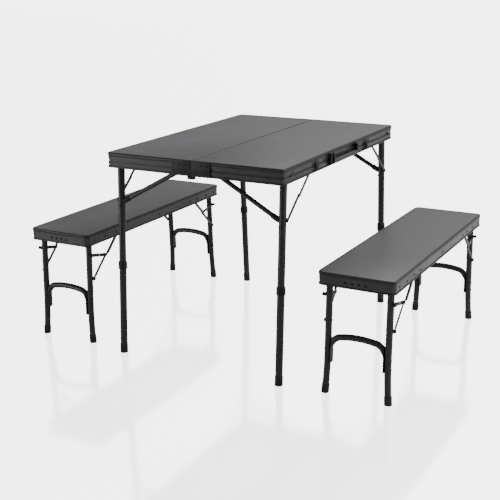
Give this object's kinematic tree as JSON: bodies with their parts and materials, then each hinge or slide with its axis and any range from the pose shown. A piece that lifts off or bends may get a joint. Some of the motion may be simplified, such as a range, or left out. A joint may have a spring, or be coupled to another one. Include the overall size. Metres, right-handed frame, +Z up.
{
  "type": "folding picnic table set",
  "caption": "Folding picnic table made as a hinged case with plug-in legs and stays, with a matching folding bench at either long side.",
  "frame": {"origin": "on the floor under the middle of the open table, which is also the middle of the set", "axes": "+X across the table towards the right bench, +Y along the fold seam away from the near end, +Z up"},
  "size_m": [1.36, 0.9062, 0.7],
  "materials": {
    "board": "smooth grey laminate on pressed board",
    "rim": "dark grey satin coating with shallow grooves",
    "tube": "dark charcoal satin powder coat",
    "link": "dark zinc plated strip",
    "plastic": "black moulded plastic, fine grain"
  },
  "bodies": {
    "half_right": {"tabletop_right": "board", "table_rim_right": "rim", "hinge_leaf_right_near": "plastic", "hinge_leaf_right_far": "plastic"},
    "half_left": {"tabletop_left": "board", "table_rim_left": "rim", "hinge_leaf_left_near": "plastic", "hinge_leaf_left_far": "plastic"},
    "leg_right_near": {"upper_leg_right_near": "tube", "brace_right_near": "tube"},
    "leg_end_right_near": {"lower_leg_right_near": "tube"},
    "stay_low_right_near": {"stay_right_near_lower": "link"},
    "stay_up_right_near": {"stay_right_near_upper": "link"},
    "leg_right_far": {"upper_leg_right_far": "tube", "brace_right_far": "tube"},
    "leg_end_right_far": {"lower_leg_right_far": "tube"},
    "stay_low_right_far": {"stay_right_far_lower": "link"},
    "stay_up_right_far": {"stay_right_far_upper": "link"},
    "leg_left_near": {"upper_leg_left_near": "tube", "brace_left_near": "tube"},
    "leg_end_left_near": {"lower_leg_left_near": "tube"},
    "stay_low_left_near": {"stay_left_near_lower": "link"},
    "stay_up_left_near": {"stay_left_near_upper": "link"},
    "leg_left_far": {"upper_leg_left_far": "tube", "brace_left_far": "tube"},
    "leg_end_left_far": {"lower_leg_left_far": "tube"},
    "stay_low_left_far": {"stay_left_far_lower": "link"},
    "stay_up_left_far": {"stay_left_far_upper": "link"},
    "latch_near": {"latch_near": "plastic"},
    "latch_far": {"latch_far": "plastic"},
    "carry_handle": {"carry_handle": "plastic"},
    "bench_right": {"seat_right": "board", "bench_rim_right": "rim"},
    "bench_leg_pair_right_near": {"bench_legs_right_near": "tube", "bench_arch_right_near": "tube"},
    "bench_stays_low_right_near": {"bench_stay_right_near_a_lower": "link", "bench_stay_right_near_b_lower": "link"},
    "bench_stays_up_right_near": {"bench_stay_right_near_a_upper": "link", "bench_stay_right_near_b_upper": "link"},
    "bench_leg_pair_right_far": {"bench_legs_right_far": "tube", "bench_arch_right_far": "tube"},
    "bench_stays_low_right_far": {"bench_stay_right_far_a_lower": "link", "bench_stay_right_far_b_lower": "link"},
    "bench_stays_up_right_far": {"bench_stay_right_far_a_upper": "link", "bench_stay_right_far_b_upper": "link"},
    "bench_left": {"seat_left": "board", "bench_rim_left": "rim"},
    "bench_leg_pair_left_near": {"bench_legs_left_near": "tube", "bench_arch_left_near": "tube"},
    "bench_stays_low_left_near": {"bench_stay_left_near_a_lower": "link", "bench_stay_left_near_b_lower": "link"},
    "bench_stays_up_left_near": {"bench_stay_left_near_a_upper": "link", "bench_stay_left_near_b_upper": "link"},
    "bench_leg_pair_left_far": {"bench_legs_left_far": "tube", "bench_arch_left_far": "tube"},
    "bench_stays_low_left_far": {"bench_stay_left_far_a_lower": "link", "bench_stay_left_far_b_lower": "link"},
    "bench_stays_up_left_far": {"bench_stay_left_far_a_upper": "link", "bench_stay_left_far_b_upper": "link"}
  },
  "joints": [
    {"name": "case_fold", "type": "hinge", "parent": "half_right", "child": "half_left", "pos_m": [0, 0, 0.6445], "axis": [0, -1, 0], "range_deg": [0, 40]},
    {"name": "leg_fold_right_near", "type": "hinge", "parent": "half_right", "child": "leg_right_near", "pos_m": [0.3, -0.402, 0.674], "axis": [1, 0, 0], "range_deg": [0, 86.8]},
    {"name": "leg_pull_right_near", "type": "slide", "parent": "leg_right_near", "child": "leg_end_right_near", "axis": [0, 0.0558, 0.9984], "range_m": [-0.1, 0]},
    {"name": "stay_low_right_near_pivot", "type": "hinge", "parent": "leg_right_near", "child": "stay_low_right_near", "pos_m": [0.3153, -0.40682, 0.53405], "axis": [1, 0, 0], "range_deg": [0, 56.24]},
    {"name": "stay_up_right_near_pivot", "type": "hinge", "parent": "half_right", "child": "stay_up_right_near", "pos_m": [0.3177, -0.23, 0.678], "axis": [1, 0, 0], "range_deg": [-37.76, 0]},
    {"name": "leg_fold_right_far", "type": "hinge", "parent": "half_right", "child": "leg_right_far", "pos_m": [0.3, 0.402, 0.674], "axis": [1, 0, 0], "range_deg": [-86.8, 0]},
    {"name": "leg_pull_right_far", "type": "slide", "parent": "leg_right_far", "child": "leg_end_right_far", "axis": [0, -0.0558, 0.9984], "range_m": [-0.1, 0]},
    {"name": "stay_low_right_far_pivot", "type": "hinge", "parent": "leg_right_far", "child": "stay_low_right_far", "pos_m": [0.3153, 0.40682, 0.53405], "axis": [1, 0, 0], "range_deg": [-56.24, 0]},
    {"name": "stay_up_right_far_pivot", "type": "hinge", "parent": "half_right", "child": "stay_up_right_far", "pos_m": [0.3177, 0.23, 0.678], "axis": [1, 0, 0], "range_deg": [0, 37.76]},
    {"name": "leg_fold_left_near", "type": "hinge", "parent": "half_left", "child": "leg_left_near", "pos_m": [-0.3, -0.402, 0.674], "axis": [1, 0, 0], "range_deg": [0, 86.8]},
    {"name": "leg_pull_left_near", "type": "slide", "parent": "leg_left_near", "child": "leg_end_left_near", "axis": [0, 0.0558, 0.9984], "range_m": [-0.1, 0]},
    {"name": "stay_low_left_near_pivot", "type": "hinge", "parent": "leg_left_near", "child": "stay_low_left_near", "pos_m": [-0.3153, -0.40682, 0.53405], "axis": [1, 0, 0], "range_deg": [0, 56.24]},
    {"name": "stay_up_left_near_pivot", "type": "hinge", "parent": "half_left", "child": "stay_up_left_near", "pos_m": [-0.3177, -0.23, 0.678], "axis": [1, 0, 0], "range_deg": [-37.76, 0]},
    {"name": "leg_fold_left_far", "type": "hinge", "parent": "half_left", "child": "leg_left_far", "pos_m": [-0.3, 0.402, 0.674], "axis": [1, 0, 0], "range_deg": [-86.8, 0]},
    {"name": "leg_pull_left_far", "type": "slide", "parent": "leg_left_far", "child": "leg_end_left_far", "axis": [0, -0.0558, 0.9984], "range_m": [-0.1, 0]},
    {"name": "stay_low_left_far_pivot", "type": "hinge", "parent": "leg_left_far", "child": "stay_low_left_far", "pos_m": [-0.3153, 0.40682, 0.53405], "axis": [1, 0, 0], "range_deg": [-56.24, 0]},
    {"name": "stay_up_left_far_pivot", "type": "hinge", "parent": "half_left", "child": "stay_up_left_far", "pos_m": [-0.3177, 0.23, 0.678], "axis": [1, 0, 0], "range_deg": [0, 37.76]},
    {"name": "latch_near_swing", "type": "hinge", "parent": "half_right", "child": "latch_near", "pos_m": [0.3283, -0.222, 0.656], "axis": [0, 1, 0], "range_deg": [0, 150]},
    {"name": "latch_far_swing", "type": "hinge", "parent": "half_right", "child": "latch_far", "pos_m": [0.3283, 0.19, 0.656], "axis": [0, 1, 0], "range_deg": [0, 150]},
    {"name": "handle_swing", "type": "hinge", "parent": "half_right", "child": "carry_handle", "pos_m": [0.3338, -0.016, 0.688], "axis": [0, -1, 0], "range_deg": [0, 100]},
    {"name": "bench_right_slide", "type": "slide", "parent": "half_right", "child": "bench_right", "axis": [1, 0, 0], "range_m": [-0.08, 0.3]},
    {"name": "bench_leg_fold_right_near", "type": "hinge", "parent": "bench_right", "child": "bench_leg_pair_right_near", "pos_m": [0.555, -0.402, 0.376], "axis": [1, 0, 0], "range_deg": [0, 87.7]},
    {"name": "bench_stays_low_right_near_pivot", "type": "hinge", "parent": "bench_leg_pair_right_near", "child": "bench_stays_low_right_near", "pos_m": [0.555, -0.4017, 0.23387], "axis": [1, 0, 0], "range_deg": [0, 49.49]},
    {"name": "bench_stays_up_right_near_pivot", "type": "hinge", "parent": "bench_right", "child": "bench_stays_up_right_near", "pos_m": [0.555, -0.244, 0.382], "axis": [1, 0, 0], "range_deg": [-43.61, 0]},
    {"name": "bench_leg_fold_right_far", "type": "hinge", "parent": "bench_right", "child": "bench_leg_pair_right_far", "pos_m": [0.555, 0.402, 0.376], "axis": [1, 0, 0], "range_deg": [-87.7, 0]},
    {"name": "bench_stays_low_right_far_pivot", "type": "hinge", "parent": "bench_leg_pair_right_far", "child": "bench_stays_low_right_far", "pos_m": [0.555, 0.4017, 0.23387], "axis": [1, 0, 0], "range_deg": [-49.49, 0]},
    {"name": "bench_stays_up_right_far_pivot", "type": "hinge", "parent": "bench_right", "child": "bench_stays_up_right_far", "pos_m": [0.555, 0.244, 0.382], "axis": [1, 0, 0], "range_deg": [0, 43.61]},
    {"name": "bench_left_slide", "type": "slide", "parent": "half_right", "child": "bench_left", "axis": [-1, 0, 0], "range_m": [-0.08, 0.3]},
    {"name": "bench_leg_fold_left_near", "type": "hinge", "parent": "bench_left", "child": "bench_leg_pair_left_near", "pos_m": [-0.555, -0.402, 0.376], "axis": [1, 0, 0], "range_deg": [0, 87.7]},
    {"name": "bench_stays_low_left_near_pivot", "type": "hinge", "parent": "bench_leg_pair_left_near", "child": "bench_stays_low_left_near", "pos_m": [-0.555, -0.4017, 0.23387], "axis": [1, 0, 0], "range_deg": [0, 49.49]},
    {"name": "bench_stays_up_left_near_pivot", "type": "hinge", "parent": "bench_left", "child": "bench_stays_up_left_near", "pos_m": [-0.555, -0.244, 0.382], "axis": [1, 0, 0], "range_deg": [-43.61, 0]},
    {"name": "bench_leg_fold_left_far", "type": "hinge", "parent": "bench_left", "child": "bench_leg_pair_left_far", "pos_m": [-0.555, 0.402, 0.376], "axis": [1, 0, 0], "range_deg": [-87.7, 0]},
    {"name": "bench_stays_low_left_far_pivot", "type": "hinge", "parent": "bench_leg_pair_left_far", "child": "bench_stays_low_left_far", "pos_m": [-0.555, 0.4017, 0.23387], "axis": [1, 0, 0], "range_deg": [-49.49, 0]},
    {"name": "bench_stays_up_left_far_pivot", "type": "hinge", "parent": "bench_left", "child": "bench_stays_up_left_far", "pos_m": [-0.555, 0.244, 0.382], "axis": [1, 0, 0], "range_deg": [0, 43.61]}
  ],
  "couplings": [
    {"joint": "stay_low_right_near_pivot", "follows": "leg_fold_right_near", "ratio": 0.64333},
    {"joint": "stay_up_right_near_pivot", "follows": "leg_fold_right_near", "ratio": -0.43041},
    {"joint": "stay_low_right_far_pivot", "follows": "leg_fold_right_far", "ratio": 0.64333},
    {"joint": "stay_up_right_far_pivot", "follows": "leg_fold_right_far", "ratio": -0.43041},
    {"joint": "stay_low_left_near_pivot", "follows": "leg_fold_left_near", "ratio": 0.64333},
    {"joint": "stay_up_left_near_pivot", "follows": "leg_fold_left_near", "ratio": -0.43041},
    {"joint": "stay_low_left_far_pivot", "follows": "leg_fold_left_far", "ratio": 0.64333},
    {"joint": "stay_up_left_far_pivot", "follows": "leg_fold_left_far", "ratio": -0.43041},
    {"joint": "bench_stays_low_right_near_pivot", "follows": "bench_leg_fold_right_near", "ratio": 0.55979},
    {"joint": "bench_stays_up_right_near_pivot", "follows": "bench_leg_fold_right_near", "ratio": -0.49266},
    {"joint": "bench_stays_low_right_far_pivot", "follows": "bench_leg_fold_right_far", "ratio": 0.55979},
    {"joint": "bench_stays_up_right_far_pivot", "follows": "bench_leg_fold_right_far", "ratio": -0.49266},
    {"joint": "bench_stays_low_left_near_pivot", "follows": "bench_leg_fold_left_near", "ratio": 0.55979},
    {"joint": "bench_stays_up_left_near_pivot", "follows": "bench_leg_fold_left_near", "ratio": -0.49266},
    {"joint": "bench_stays_low_left_far_pivot", "follows": "bench_leg_fold_left_far", "ratio": 0.55979},
    {"joint": "bench_stays_up_left_far_pivot", "follows": "bench_leg_fold_left_far", "ratio": -0.49266}
  ]
}
